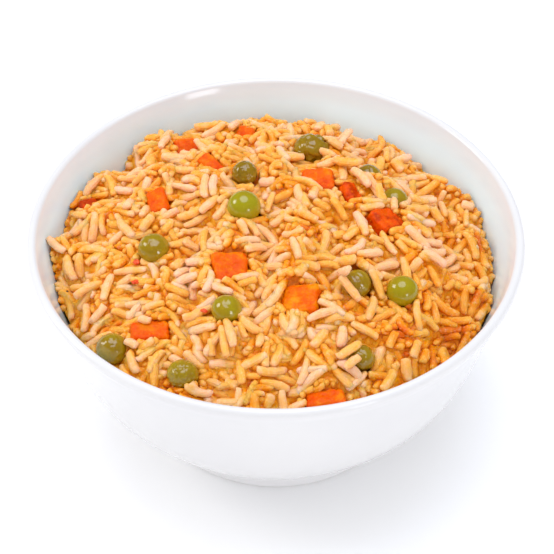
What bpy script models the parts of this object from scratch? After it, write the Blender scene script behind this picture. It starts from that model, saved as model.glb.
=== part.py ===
"""A heaped bowl of rice with peas and diced carrot, in its white porcelain bowl.

Metres, +Z up. The origin is on the table, at the middle of the bowl's foot, and
the side of the bowl that faces -Y is its front.
"""

import math
import random
from collections import namedtuple

import bmesh
import bpy
import numpy as np
from mathutils import Euler, Matrix, Vector
from mathutils.geometry import delaunay_2d_cdt

MM = 0.001
CLEARANCE = 0.35 * MM
SEED = 7

# Bowl
RIM_RADIUS = 65.0 * MM
BOWL_HEIGHT = 61.5 * MM
LIP_RADIUS = 1.4 * MM
FOOT_RADIUS = 35.5 * MM
FOOT_HEIGHT = 5.5 * MM
FOOT_RING_WIDTH = 4.2 * MM
FOOT_EDGE = 0.5 * MM
RECESS_HEIGHT = 3.2 * MM
FLOOR_HEIGHT = 6.8 * MM
FLOOR_RADIUS = 20.0 * MM
WALL_AT_LIP = 2.0 * LIP_RADIUS
WALL_AT_FOOT = 6.0 * MM
BODY_SLOPE_AT_FOOT = math.radians(43.5)
BODY_LEAN_AT_LIP = math.radians(22.0)
BODY_FULLNESS = 34.75 * MM
BOWL_SEGMENTS = 48
BODY_STEPS = 9
LIP_ANGLES = tuple(math.radians(angle) for angle in (0, 45, 90, 124))

# Rice heap
HEAP_TOP = 65.0 * MM
HEAP_DROP = 15.0 * MM
HEAP_RADIUS = 58.5 * MM
HEAP_POWER = 2.2
BARE_CORE_DEPTH = 0.9 * MM
CORE_EDGE_DROP = 2.0 * MM
SLOPE_STEP = 2.0 * MM
EDGE_PASSES = 8
SAME_POINT = 1e-7

# Grains, lying in the heap's surface or loose on top of it
GRAIN_LENGTH = (7.2 * MM, 9.4 * MM)
GRAIN_WIDTH = (2.2 * MM, 2.6 * MM)
GRAIN_SIDES = 5
WAIST_SHARE = 0.28
CLUMPS = 46
CLUMP_SPREAD = 0.28
STRAY_SHARE = 0.35
LYING_GRAINS = 390
LYING_TRIES = 90
LYING_TILT = 0.10
LYING_WIDTH_SHARE = 0.46
EAVE_SHARE = 0.26
RIDGE_SHARE = 0.24
RIDGE_RISE = 0.9 * MM
RIDGE_LIFT = 0.3 * MM
RIDGE_TILT = 1.6
LOOSE_GRAINS = 74
LOOSE_TRIES = 12
LOOSE_RISE = (0.9 * MM, 1.5 * MM)
LOOSE_TILT = 0.2

Lump = namedtuple("Lump", "x y rise spread")
HEAP_LUMPS = (
    Lump(-54 * MM, 6 * MM, 3.2 * MM, 8 * MM),
    Lump(55 * MM, -2 * MM, -2.2 * MM, 11 * MM),
    Lump(34 * MM, 44 * MM, -1.4 * MM, 14 * MM),
    Lump(-38 * MM, 42 * MM, 1.6 * MM, 11 * MM),
    Lump(-22 * MM, 24 * MM, 1.2 * MM, 12 * MM),
    Lump(20 * MM, -2 * MM, 1.2 * MM, 11 * MM),
    Lump(-24 * MM, -14 * MM, -1.2 * MM, 10 * MM),
    Lump(-4 * MM, 52 * MM, 0.8 * MM, 8 * MM),
    Lump(34 * MM, -34 * MM, 0.9 * MM, 10 * MM),
)

# Peas: where each lies, its size, how far its middle stands above the heap,
# and how long and how flat it is against a round one
Pea = namedtuple("Pea", "x y diameter proud long flat")
PEAS = (
    Pea(-8.2 * MM, 18.2 * MM, 7.3 * MM, 1.0 * MM, 1.00, 0.94),
    Pea(-8.3 * MM, 4.0 * MM, 8.9 * MM, 1.2 * MM, 1.00, 0.97),
    Pea(-31.5 * MM, -7.2 * MM, 8.4 * MM, 1.2 * MM, 1.03, 0.95),
    Pea(9.8 * MM, 33.8 * MM, 9.3 * MM, 0.6 * MM, 1.06, 0.84),
    Pea(24.9 * MM, 22.9 * MM, 7.4 * MM, -0.4 * MM, 1.00, 0.92),
    Pea(31.4 * MM, 12.0 * MM, 7.8 * MM, 0.0 * MM, 1.03, 0.90),
    Pea(20.6 * MM, -21.1 * MM, 7.8 * MM, 0.3 * MM, 1.00, 0.93),
    Pea(32.0 * MM, -22.1 * MM, 8.4 * MM, 1.3 * MM, 1.00, 0.97),
    Pea(21.2 * MM, -41.5 * MM, 7.2 * MM, 0.3 * MM, 1.02, 0.92),
    Pea(-12.3 * MM, -30.0 * MM, 8.0 * MM, 1.2 * MM, 1.00, 0.96),
    Pea(-41.1 * MM, -35.2 * MM, 8.3 * MM, 0.8 * MM, 1.00, 1.00),
    Pea(-23.0 * MM, -45.5 * MM, 7.9 * MM, 1.0 * MM, 1.04, 0.90),
)
PEA_TILT = 0.3
PEA_SEGMENTS = 12
PEA_RINGS = 6
SOCKET_SEGMENTS = 10
SOCKET_RINGS = 5

# Carrot dice: where each lies, its three sides, how far its top face stands
# above the heap, its turn, and how it leans over its length and its width
Dice = namedtuple("Dice", "x y length width height proud turn lean_x lean_y")
CARROTS = (
    Dice(-25.2 * MM, 37.9 * MM, 7.0 * MM, 6.0 * MM, 5.0 * MM, 1.2 * MM, 15, 20, 5),
    Dice(-8.3 * MM, 44.6 * MM, 5.6 * MM, 5.0 * MM, 4.6 * MM, 1.0 * MM, -20, 25, -8),
    Dice(-17.2 * MM, 24.4 * MM, 8.4 * MM, 4.4 * MM, 4.2 * MM, 1.2 * MM, -52, 18, 10),
    Dice(-31.1 * MM, 11.4 * MM, 5.6 * MM, 8.0 * MM, 5.0 * MM, 1.4 * MM, 12, 12, -16),
    Dice(-50.4 * MM, 18.2 * MM, 5.4 * MM, 5.0 * MM, 4.6 * MM, 1.0 * MM, 24, 8, 14),
    Dice(-11.8 * MM, -16.0 * MM, 9.4 * MM, 9.0 * MM, 6.4 * MM, 1.8 * MM, 8, 20, 4),
    Dice(11.4 * MM, 16.9 * MM, 8.4 * MM, 7.2 * MM, 5.6 * MM, 1.6 * MM, 8, 14, 2),
    Dice(19.4 * MM, 12.4 * MM, 4.4 * MM, 7.0 * MM, 5.2 * MM, 1.2 * MM, 24, 14, 22),
    Dice(28.3 * MM, 2.0 * MM, 8.4 * MM, 8.0 * MM, 6.2 * MM, 1.6 * MM, 38, 10, 18),
    Dice(6.4 * MM, -26.5 * MM, 9.4 * MM, 8.8 * MM, 6.4 * MM, 1.4 * MM, -6, 14, -10),
    Dice(-31.7 * MM, -31.9 * MM, 9.4 * MM, 5.6 * MM, 4.2 * MM, 1.1 * MM, 4, 16, -4),
    Dice(12.2 * MM, -51.9 * MM, 10.0 * MM, 5.2 * MM, 5.0 * MM, 1.2 * MM, 6, 4, -6),
)
CARROT_EDGE = 0.7 * MM
CARROT_UNEVEN = 0.35 * MM


# Curves in the plane of a turned profile, as (radius, height)

def bezier(start, handle_a, handle_b, end, steps):
    """Points and directions along a cubic curve, both ends included."""
    points = []
    for step in range(steps + 1):
        t = step / steps
        u = 1.0 - t
        point = u**3 * start + 3 * u * u * t * handle_a + 3 * u * t * t * handle_b + t**3 * end
        slope = u * u * (handle_a - start) + 2 * u * t * (handle_b - handle_a)
        slope += t * t * (end - handle_b)
        points.append((point, slope.normalized()))
    return points


def body_curve():
    """The outside of the bowl from its foot to its lip."""
    lip_centre = Vector((RIM_RADIUS - LIP_RADIUS, BOWL_HEIGHT - LIP_RADIUS))
    lean = BODY_LEAN_AT_LIP
    end = lip_centre + LIP_RADIUS * Vector((math.cos(lean), -math.sin(lean)))
    start = Vector((FOOT_RADIUS + FOOT_EDGE, FOOT_HEIGHT))
    rise = Vector((math.cos(BODY_SLOPE_AT_FOOT), math.sin(BODY_SLOPE_AT_FOOT)))
    arrive = Vector((math.sin(lean), math.cos(lean)))
    handle_a = start + BODY_FULLNESS * rise
    handle_b = end - BODY_FULLNESS * arrive
    return bezier(start, handle_a, handle_b, end, BODY_STEPS)


def lip_arc():
    """The half-round lip, from the outside over the top to the inside."""
    centre = Vector((RIM_RADIUS - LIP_RADIUS, BOWL_HEIGHT - LIP_RADIUS))
    return [centre + LIP_RADIUS * Vector((math.cos(angle), math.sin(angle))) for angle in LIP_ANGLES]


def inner_wall():
    """The inside of the bowl, from the lip down to the middle of its floor."""
    points = []
    for step, (point, slope) in enumerate(reversed(body_curve())):
        share = step / BODY_STEPS
        wall = WALL_AT_LIP + (WALL_AT_FOOT - WALL_AT_LIP) * share**3
        points.append(point + wall * Vector((-slope.y, slope.x)))
    corner = points[-1]
    drop = corner.y - FLOOR_HEIGHT
    bend = Vector((corner.x - drop / math.tan(BODY_SLOPE_AT_FOOT), FLOOR_HEIGHT))
    floor_edge = Vector((FLOOR_RADIUS, FLOOR_HEIGHT))
    points.append((corner + 2 * bend + floor_edge) / 4)
    points.append(floor_edge)
    points.append(Vector((0.0, FLOOR_HEIGHT)))
    return points


def bowl_profile():
    """The whole section: recess, foot ring, outside, lip and inside."""
    ring_inside = FOOT_RADIUS - FOOT_RING_WIDTH
    points = [
        Vector((0.0, RECESS_HEIGHT)),
        Vector((ring_inside - FOOT_EDGE, RECESS_HEIGHT)),
        Vector((ring_inside, 0.0)),
        Vector((FOOT_RADIUS - FOOT_EDGE, 0.0)),
        Vector((FOOT_RADIUS, FOOT_EDGE)),
        Vector((FOOT_RADIUS - FOOT_EDGE, FOOT_HEIGHT - FOOT_EDGE)),
    ]
    points += [point for point, slope in body_curve()]
    return points + lip_arc() + inner_wall()


def inset(points, distance):
    """A profile that runs top to bottom, moved in from the wall."""
    moved = []
    for index, point in enumerate(points):
        before = points[max(index - 1, 0)]
        after = points[min(index + 1, len(points) - 1)]
        along = (after - before).normalized()
        moved.append(point + distance * Vector((along.y, -along.x)))
    moved[-1] = Vector((0.0, points[-1].y + distance))
    return moved


# Shared helpers

def clear_scene():
    for old in list(bpy.data.objects):
        bpy.data.objects.remove(old, do_unlink=True)


def plain_material(name, colour, roughness):
    material = bpy.data.materials.new(name)
    material.use_nodes = True
    shader = material.node_tree.nodes["Principled BSDF"]
    shader.inputs["Base Color"].default_value = (*colour, 1.0)
    shader.inputs["Roughness"].default_value = roughness
    shader.inputs["Metallic"].default_value = 0.0
    return material


def add_object(name, bm, material, smooth_angle=None):
    """Turn a bmesh into a linked object, smooth where it is round."""
    bmesh.ops.recalc_face_normals(bm, faces=bm.faces)
    mesh = bpy.data.meshes.new(name)
    bm.to_mesh(mesh)
    bm.free()
    if smooth_angle is not None:
        mesh.shade_smooth()
        mesh.set_sharp_from_angle(angle=smooth_angle)
    piece = bpy.data.objects.new(name, mesh)
    piece.data.materials.append(material)
    bpy.context.scene.collection.objects.link(piece)
    return piece


def closed_bmesh(points, faces):
    bm = bmesh.new()
    verts = [bm.verts.new(point) for point in points]
    for face in faces:
        bm.faces.new([verts[index] for index in face])
    return bm


# Bowl

def make_bowl(material):
    """Turn the section once round the upright axis."""
    bm = bmesh.new()
    verts = [bm.verts.new((point.x, 0.0, point.y)) for point in bowl_profile()]
    edges = [bm.edges.new(pair) for pair in zip(verts, verts[1:])]
    bmesh.ops.spin(bm, geom=verts + edges, cent=(0, 0, 0), axis=(0, 0, 1),
                   angle=math.tau, steps=BOWL_SEGMENTS, use_merge=True)
    bmesh.ops.remove_doubles(bm, verts=bm.verts, dist=0.01 * MM)
    return add_object("bowl", bm, material, smooth_angle=math.radians(40))


# Rice heap

def heap_height(x, y):
    """The middle height of the grains that show, over a point of the table."""
    radius = math.hypot(x, y)
    height = HEAP_TOP - HEAP_DROP * (radius / HEAP_RADIUS) ** HEAP_POWER
    for lump in HEAP_LUMPS:
        apart = math.hypot(x - lump.x, y - lump.y) / lump.spread
        height += lump.rise * math.exp(-0.5 * apart * apart)
    return height


def heap_normal(x, y):
    slope_x = heap_height(x + SLOPE_STEP, y) - heap_height(x - SLOPE_STEP, y)
    slope_y = heap_height(x, y + SLOPE_STEP) - heap_height(x, y - SLOPE_STEP)
    return Vector((-slope_x, -slope_y, 2.0 * SLOPE_STEP)).normalized()


def wall_radius(height, wall):
    """How far out a profile that runs top to bottom is at a height."""
    for upper, lower in zip(wall, wall[1:]):
        if lower.y <= height <= upper.y:
            share = (height - lower.y) / (upper.y - lower.y)
            return lower.x + share * (upper.x - lower.x)
    return wall[0].x


def edge_point(angle, wall):
    """Where the bare core meets the wall in one direction."""
    height = HEAP_TOP - HEAP_DROP
    for _ in range(EDGE_PASSES):
        radius = wall_radius(height, wall)
        height = heap_height(radius * math.cos(angle), radius * math.sin(angle))
        height -= BARE_CORE_DEPTH
    return Vector((radius * math.cos(angle), radius * math.sin(angle), height))


def room_to_edge(x, y, wall):
    """How far inside the core's many-sided edge a point of the plan is."""
    edge = edge_point(math.atan2(y, x), wall)
    return math.hypot(edge.x, edge.y) * math.cos(math.pi / BOWL_SEGMENTS) - math.hypot(x, y)


class GrainField:
    """Places for grains, none of which lies across another or a topping."""

    def __init__(self, rng):
        self.rng = rng
        self.ends = []
        self.half_widths = []
        self.clumps = []
        for _ in range(CLUMPS):
            spot = self.random_spot(HEAP_RADIUS)
            self.clumps.append((*spot, rng.uniform(0, math.pi)))

    def random_spot(self, limit):
        radius = limit * math.sqrt(self.rng.random())
        angle = self.rng.uniform(0, math.tau)
        return radius * math.cos(angle), radius * math.sin(angle)

    def direction(self, x, y):
        """Grains of a clump lie side by side, and a third lie anyhow."""
        if self.rng.random() < STRAY_SHARE:
            return self.rng.uniform(0, math.pi)
        nearest = min(self.clumps, key=lambda clump: math.hypot(x - clump[0], y - clump[1]))
        return nearest[2] + self.rng.gauss(0, CLUMP_SPREAD)

    def is_free(self, a, b, half_width):
        """Five points along the new grain against every grain so far."""
        if not self.ends:
            return True
        ends = np.array(self.ends)
        starts, stops = ends[:, 0], ends[:, 1]
        runs = stops - starts
        squares = np.maximum((runs**2).sum(axis=1), 1e-12)
        room = np.array(self.half_widths) + half_width
        for share in (0.0, 0.25, 0.5, 0.75, 1.0):
            point = a + share * (b - a)
            along = np.clip(((point - starts) * runs).sum(axis=1) / squares, 0.0, 1.0)
            nearest = starts + along[:, None] * runs
            if (np.hypot(*(point - nearest).T) < room).any():
                return False
        return True

    def keep(self, a, b, half_width):
        self.ends.append((a, b))
        self.half_widths.append(half_width)


def topping_gap(x, y):
    """Plan distance from a point to the nearest topping."""
    gaps = []
    for pea in PEAS:
        gaps.append(math.hypot(x - pea.x, y - pea.y) - 0.5 * pea.diameter * pea.long)
    for dice in CARROTS:
        turn = math.radians(dice.turn)
        dx, dy = x - dice.x, y - dice.y
        across = abs(dx * math.cos(turn) + dy * math.sin(turn)) - 0.5 * dice.length
        along = abs(dy * math.cos(turn) - dx * math.sin(turn)) - 0.5 * dice.width
        gaps.append(math.hypot(max(across, 0.0), max(along, 0.0)) + min(max(across, along), 0.0))
    return min(gaps)


def pick_grains(rng, wanted, wall):
    """Lying grains spread by a seeded rule, the longest first."""
    field = GrainField(rng)
    rim_limit = wall_radius(HEAP_TOP - HEAP_DROP, wall)
    grains = []
    tries = LYING_TRIES * wanted
    for attempt in range(tries):
        if len(grains) == wanted:
            break
        shrink = attempt / tries
        length = GRAIN_LENGTH[1] + (GRAIN_LENGTH[0] - GRAIN_LENGTH[1]) * shrink
        width = rng.uniform(*GRAIN_WIDTH)
        x, y = field.random_spot(rim_limit)
        turn = field.direction(x, y)
        reach = 0.5 * (length - width) * np.array((math.cos(turn), math.sin(turn)))
        middle = np.array((x, y))
        tips = (middle - reach, middle + reach)
        if min(room_to_edge(*tip, wall) for tip in tips) < 0.5 * width + CLEARANCE:
            continue
        if min(topping_gap(*spot) for spot in (*tips, middle)) < 0.5 * width + CLEARANCE:
            continue
        half_width = LYING_WIDTH_SHARE * width
        if not field.is_free(*tips, half_width):
            continue
        field.keep(*tips, half_width)
        grains.append((x, y, turn, length, width))
    return grains


def add_lying_grain(points, edges, grain, rng):
    """A roof of a grain's size on the core: six eaves and a two-point ridge."""
    x, y, turn, length, width = grain
    across = Vector((-math.sin(turn), math.cos(turn)))
    along = Vector((math.cos(turn), math.sin(turn)))
    tilt = rng.uniform(-LYING_TILT, LYING_TILT)
    lift = rng.uniform(-RIDGE_LIFT, RIDGE_LIFT)
    eaves = ((-0.5, 0.0), (-EAVE_SHARE, -0.5), (EAVE_SHARE, -0.5),
             (0.5, 0.0), (EAVE_SHARE, 0.5), (-EAVE_SHARE, 0.5))
    first = len(points)
    for share, side in eaves:
        spot = Vector((x, y)) + share * length * along + side * width * across
        height = heap_height(*spot) - BARE_CORE_DEPTH + tilt * share * length
        points.append(Vector((*spot, height)))
    for share in (-RIDGE_SHARE, RIDGE_SHARE):
        spot = Vector((x, y)) + share * length * along
        height = heap_height(*spot) + RIDGE_RISE + lift
        height += RIDGE_TILT * tilt * share * length
        points.append(Vector((*spot, height)))
    edges += [(first + side, first + (side + 1) % 6) for side in range(6)]
    edges.append((first + 6, first + 7))


def heap_surface(rng, wall):
    """The top of the heap as triangles over the plan, its edge first."""
    points = []
    edges = []
    for index in range(BOWL_SEGMENTS):
        points.append(edge_point(math.tau * index / BOWL_SEGMENTS, wall))
        edges.append((index, (index + 1) % BOWL_SEGMENTS))
    for grain in pick_grains(rng, LYING_GRAINS, wall):
        add_lying_grain(points, edges, grain, rng)
    plan = [point.to_2d() for point in points]
    inside_edges_only = 1
    flat, _, faces, sources, _, _ = delaunay_2d_cdt(plan, edges, [], inside_edges_only,
                                                      SAME_POINT)
    surface = []
    for spot, source in zip(flat, sources):
        height = points[source[0]].z if source else heap_height(*spot) - BARE_CORE_DEPTH
        surface.append(Vector((*spot, height)))
    return surface, faces


def make_core(rng, material, wall):
    """The heap down to the bowl's floor, its top covered with lying grains."""
    points, faces = heap_surface(rng, wall)
    faces = [tuple(face) for face in faces]
    upper = list(range(BOWL_SEGMENTS))
    lowest_edge = min(point.z for point in points[:BOWL_SEGMENTS])
    for profile_point in wall[:-1]:
        if profile_point.y > lowest_edge - CORE_EDGE_DROP:
            continue
        lower = []
        for index in range(BOWL_SEGMENTS):
            angle = math.tau * index / BOWL_SEGMENTS
            lower.append(len(points))
            spot = (profile_point.x * math.cos(angle), profile_point.x * math.sin(angle))
            points.append(Vector((*spot, profile_point.y)))
        for index in range(BOWL_SEGMENTS):
            after = (index + 1) % BOWL_SEGMENTS
            faces.append((upper[index], lower[index], lower[after], upper[after]))
        upper = lower
    points.append(Vector((0.0, 0.0, wall[-1].y)))
    for index in range(BOWL_SEGMENTS):
        faces.append((upper[index], len(points) - 1, upper[(index + 1) % BOWL_SEGMENTS]))
    return add_object("rice", closed_bmesh(points, faces), material)


def grain_bmesh(length, width):
    """One cooked grain: a blunt spindle with a few sides."""
    points = [Vector((-0.5 * length, 0, 0)), Vector((0.5 * length, 0, 0))]
    for share in (-WAIST_SHARE, WAIST_SHARE):
        for side in range(GRAIN_SIDES):
            angle = math.tau * (side + 0.5) / GRAIN_SIDES
            spot = 0.5 * width * Vector((0, math.cos(angle), math.sin(angle)))
            points.append(spot + Vector((share * length, 0, 0)))
    faces = []
    for side in range(GRAIN_SIDES):
        near, far = 2 + side, 2 + (side + 1) % GRAIN_SIDES
        faces.append((0, far, near))
        faces.append((near, far, far + GRAIN_SIDES, near + GRAIN_SIDES))
        faces.append((1, near + GRAIN_SIDES, far + GRAIN_SIDES))
    return closed_bmesh(points, faces)


def loose_grain_frame(rng, x, y):
    """A grain that lies on the heap at any turn, tipped a little."""
    normal = heap_normal(x, y)
    upright = normal.to_track_quat("Z", "X").to_matrix().to_4x4()
    turn = Euler((0, rng.uniform(-LOOSE_TILT, LOOSE_TILT), rng.uniform(0, math.tau)), "XYZ")
    height = heap_height(x, y) + rng.uniform(*LOOSE_RISE)
    return Matrix.Translation((x, y, height)) @ upright @ turn.to_matrix().to_4x4()


def pick_loose_grains(rng, wall):
    """Places for the grains on top, each as far as can be from the others."""
    limit = wall_radius(HEAP_TOP - HEAP_DROP, wall)
    chosen = []
    while len(chosen) < LOOSE_GRAINS:
        best = None
        for _ in range(LOOSE_TRIES):
            radius = limit * math.sqrt(rng.random())
            angle = rng.uniform(0, math.tau)
            x, y = radius * math.cos(angle), radius * math.sin(angle)
            length, width = rng.uniform(*GRAIN_LENGTH), rng.uniform(*GRAIN_WIDTH)
            frame = loose_grain_frame(rng, x, y)
            tips = [frame @ Vector((share * length, 0, 0)) for share in (-0.5, 0.0, 0.5)]
            if min(topping_gap(tip.x, tip.y) for tip in tips) < 0.5 * width + CLEARANCE:
                continue
            if min(room_to_edge(tip.x, tip.y, wall) for tip in tips) < 0.5 * width + CLEARANCE:
                continue
            gap = min((math.hypot(x - other[0], y - other[1]) for other in chosen), default=1.0)
            if best is None or gap > best[0]:
                best = (gap, x, y, frame, length, width)
        if best is not None:
            chosen.append(best[1:])
    return chosen


def largest_body(mesh):
    """Drop loose scraps and the skins of sealed hollows."""
    bm = bmesh.new()
    bm.from_mesh(mesh)
    unseen = set(bm.verts)
    bodies = []
    while unseen:
        body = [unseen.pop()]
        for vert in body:
            for edge in vert.link_edges:
                other = edge.other_vert(vert)
                if other in unseen:
                    unseen.remove(other)
                    body.append(other)
        bodies.append(body)
    bodies.sort(key=len)
    for scrap in bodies[:-1]:
        bmesh.ops.delete(bm, geom=scrap, context="VERTS")
    bm.to_mesh(mesh)
    bm.free()


def combine(target, tools, operation):
    """One Boolean of a collection of tools, applied, and the tools removed."""
    group = bpy.data.collections.new(operation.lower())
    for tool in tools:
        bpy.context.scene.collection.objects.unlink(tool)
        group.objects.link(tool)
    bpy.context.scene.collection.children.link(group)
    modifier = target.modifiers.new(operation.lower(), "BOOLEAN")
    modifier.operation = operation
    modifier.operand_type = "COLLECTION"
    modifier.collection = group
    modifier.solver = "EXACT"
    bpy.context.view_layer.update()
    depsgraph = bpy.context.evaluated_depsgraph_get()
    joined = bpy.data.meshes.new_from_object(target.evaluated_get(depsgraph))
    target.modifiers.clear()
    target.data = joined
    for tool in tools:
        bpy.data.objects.remove(tool, do_unlink=True)
    bpy.data.collections.remove(group)


def pea_frame(pea, rng):
    height = heap_height(pea.x, pea.y) + pea.proud
    turn = Euler((rng.uniform(-PEA_TILT, PEA_TILT), rng.uniform(-PEA_TILT, PEA_TILT),
                  rng.uniform(0, math.tau)))
    return Matrix.Translation((pea.x, pea.y, height)) @ turn.to_matrix().to_4x4()


def dice_frame(dice):
    height = heap_height(dice.x, dice.y) + dice.proud - 0.5 * dice.height
    lean = Euler([math.radians(angle) for angle in (dice.lean_x, dice.lean_y, dice.turn)])
    return Matrix.Translation((dice.x, dice.y, height)) @ lean.to_matrix().to_4x4()


def make_sockets(pea_frames, material):
    """Slightly larger plain forms of the toppings, to hollow their places."""
    sockets = []
    for pea, frame in zip(PEAS, pea_frames):
        bm = bmesh.new()
        outward = 1.0 / (math.cos(math.pi / SOCKET_SEGMENTS) * math.cos(0.5 * math.pi / SOCKET_RINGS))
        radius = outward * (0.5 * pea.diameter + CLEARANCE)
        bmesh.ops.create_uvsphere(bm, u_segments=SOCKET_SEGMENTS, v_segments=SOCKET_RINGS,
                                  radius=radius)
        bm.transform(Matrix.Diagonal((pea.long, 1.0, pea.flat, 1.0)))
        bm.transform(frame)
        sockets.append(add_object("socket", bm, material))
    for dice in CARROTS:
        bm = bmesh.new()
        bmesh.ops.create_cube(bm, size=1.0)
        grown = 2.0 * (CLEARANCE + CARROT_UNEVEN)
        size = (dice.length + grown, dice.width + grown, dice.height + grown, 1.0)
        bm.transform(Matrix.Diagonal(size))
        bm.transform(dice_frame(dice))
        sockets.append(add_object("socket", bm, material))
    return sockets


def make_rice(material, pea_frames):
    """The core, the grains on it, and the places of the toppings."""
    rng = random.Random(SEED)
    wall = inset(inner_wall(), CLEARANCE)
    rice = make_core(rng, material, wall)
    grains = []
    for x, y, frame, length, width in pick_loose_grains(rng, wall):
        bm = grain_bmesh(length, width)
        bm.transform(frame)
        grains.append(add_object("grain", bm, material))
    combine(rice, grains, "UNION")
    combine(rice, make_sockets(pea_frames, material), "DIFFERENCE")
    largest_body(rice.data)
    rice.data.shade_smooth()
    rice.data.set_sharp_from_angle(angle=math.radians(30))
    return rice


# Toppings

def make_pea(name, pea, frame, material):
    bm = bmesh.new()
    bmesh.ops.create_uvsphere(bm, u_segments=PEA_SEGMENTS, v_segments=PEA_RINGS,
                              radius=0.5 * pea.diameter)
    bm.transform(Matrix.Diagonal((pea.long, 1.0, pea.flat, 1.0)))
    piece = add_object(name, bm, material, smooth_angle=math.radians(60))
    piece.matrix_world = frame
    return piece


def make_carrot(name, dice, rng, material):
    """A knife-cut die, its corners a little uneven and its edges soft."""
    bm = bmesh.new()
    bmesh.ops.create_cube(bm, size=1.0)
    bm.transform(Matrix.Diagonal((dice.length, dice.width, dice.height, 1.0)))
    for vert in bm.verts:
        vert.co += Vector([rng.uniform(-1, 1) * CARROT_UNEVEN for _ in range(3)])
    bmesh.ops.bevel(bm, geom=bm.edges[:], offset=CARROT_EDGE, segments=1,
                    profile=0.5, affect="EDGES", clamp_overlap=True)
    piece = add_object(name, bm, material, smooth_angle=math.radians(40))
    piece.matrix_world = dice_frame(dice)
    return piece


def main():
    clear_scene()
    porcelain = plain_material("white porcelain", (0.87, 0.87, 0.88), 0.12)
    rice_starch = plain_material("cooked rice", (0.80, 0.42, 0.15), 0.45)
    pea_skin = plain_material("cooked pea", (0.22, 0.35, 0.04), 0.30)
    carrot_flesh = plain_material("cooked carrot", (0.86, 0.18, 0.02), 0.40)

    rng = random.Random(SEED + 1)
    pea_frames = [pea_frame(pea, rng) for pea in PEAS]
    serving = bpy.data.objects.new("serving", None)
    bpy.context.scene.collection.objects.link(serving)

    pieces = [make_bowl(porcelain), make_rice(rice_starch, pea_frames)]
    for number, (pea, frame) in enumerate(zip(PEAS, pea_frames), start=1):
        pieces.append(make_pea(f"pea_{number:02d}", pea, frame, pea_skin))
    for number, dice in enumerate(CARROTS, start=1):
        pieces.append(make_carrot(f"carrot_{number:02d}", dice, rng, carrot_flesh))
    for piece in pieces:
        piece.parent = serving


main()
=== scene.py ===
"""The looks of a heaped bowl of rice with peas and diced carrot.

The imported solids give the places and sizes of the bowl, the peas and the carrots.
The grains are piled one by one on a height map of the heap, and a packed mass
fills the gaps under them. Everything is in metres, +Z up.
"""

import math
import random
from collections import namedtuple

import bmesh
import bpy
import numpy as np
from mathutils import Matrix, Vector, noise
from mathutils.bvhtree import BVHTree


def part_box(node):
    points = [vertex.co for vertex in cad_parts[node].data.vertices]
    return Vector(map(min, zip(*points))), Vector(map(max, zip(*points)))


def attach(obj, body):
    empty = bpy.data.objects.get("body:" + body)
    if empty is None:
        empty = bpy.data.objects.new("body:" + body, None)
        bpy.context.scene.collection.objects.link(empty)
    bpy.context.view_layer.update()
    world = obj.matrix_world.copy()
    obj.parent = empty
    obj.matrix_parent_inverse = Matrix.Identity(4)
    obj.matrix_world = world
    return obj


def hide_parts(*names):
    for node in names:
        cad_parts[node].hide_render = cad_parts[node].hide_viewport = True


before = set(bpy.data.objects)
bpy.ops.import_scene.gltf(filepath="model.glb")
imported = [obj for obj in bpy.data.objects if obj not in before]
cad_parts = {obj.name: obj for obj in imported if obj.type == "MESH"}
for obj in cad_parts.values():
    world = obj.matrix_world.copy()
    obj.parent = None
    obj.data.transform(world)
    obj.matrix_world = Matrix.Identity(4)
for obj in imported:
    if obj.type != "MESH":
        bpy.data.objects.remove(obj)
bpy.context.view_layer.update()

MM = 0.001
SEED = 11
BODY = "root"

# Camera: a long lens about half a metre off, looking down at the bowl's front
PHOTO_SIDE = 554
FOCAL_PIXELS = 2027.7
SENSOR_WIDTH = 36.0
VIEW_DISTANCE = 550 * MM
VIEW_ELEVATION = math.radians(44.9)
VIEW_HEIGHT = 30.75 * MM
MIDDLE_IN_PHOTO = (275.4, 313.4)

# Bowl section, as the solid has it
bowl_low, bowl_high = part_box("bowl")
RIM_RADIUS = bowl_high.x
BOWL_HEIGHT = bowl_high.z
LIP_RADIUS = 1.4 * MM
FOOT_RADIUS = 35.5 * MM
FOOT_HEIGHT = 5.5 * MM
FOOT_RING_WIDTH = 4.2 * MM
FOOT_EDGE = 0.5 * MM
RECESS_HEIGHT = 3.2 * MM
FLOOR_HEIGHT = 6.8 * MM
FLOOR_RADIUS = 20.0 * MM
WALL_AT_LIP = 2.0 * LIP_RADIUS
WALL_AT_FOOT = 6.0 * MM
BODY_SLOPE_AT_FOOT = math.radians(43.5)
BODY_LEAN_AT_LIP = math.radians(22.0)
BODY_FULLNESS = 34.75 * MM
BOWL_SEGMENTS = 192
BODY_STEPS = 36
ARC_STEPS = 8
# Depth below the rim over which the inside's painted bluer, brighter white fades in
PAINTED_INSIDE_FADE = 7 * MM

# Heap: the middle height of the grains that show
HEAP_TOP = 65.0 * MM
HEAP_DROP = 15.0 * MM
HEAP_RADIUS = 58.5 * MM
HEAP_POWER = 2.2
Lump = namedtuple("Lump", "x y rise spread")
HEAP_LUMPS = (
    Lump(-54 * MM, 6 * MM, 3.2 * MM, 8 * MM),
    Lump(55 * MM, -2 * MM, -2.2 * MM, 11 * MM),
    Lump(34 * MM, 44 * MM, -1.4 * MM, 14 * MM),
    Lump(-38 * MM, 42 * MM, 1.6 * MM, 11 * MM),
    Lump(-22 * MM, 24 * MM, 1.2 * MM, 12 * MM),
    Lump(20 * MM, -2 * MM, 1.2 * MM, 11 * MM),
    Lump(-24 * MM, -14 * MM, -1.2 * MM, 10 * MM),
    Lump(-4 * MM, 52 * MM, 0.8 * MM, 8 * MM),
    Lump(34 * MM, -34 * MM, 0.9 * MM, 10 * MM),
)
CLUMP_SIZE = 11 * MM
CLUMP_RISE = 1.7 * MM

# Core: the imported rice, from the bowl's floor to under the grains that show
CORE_DEPTH = 6.5 * MM
CORE_CLEARANCE = 0.5 * MM
CORE_EDGE = 42 * MM
CORE_SEGMENTS = 480
CORE_RINGS = 130

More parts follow.
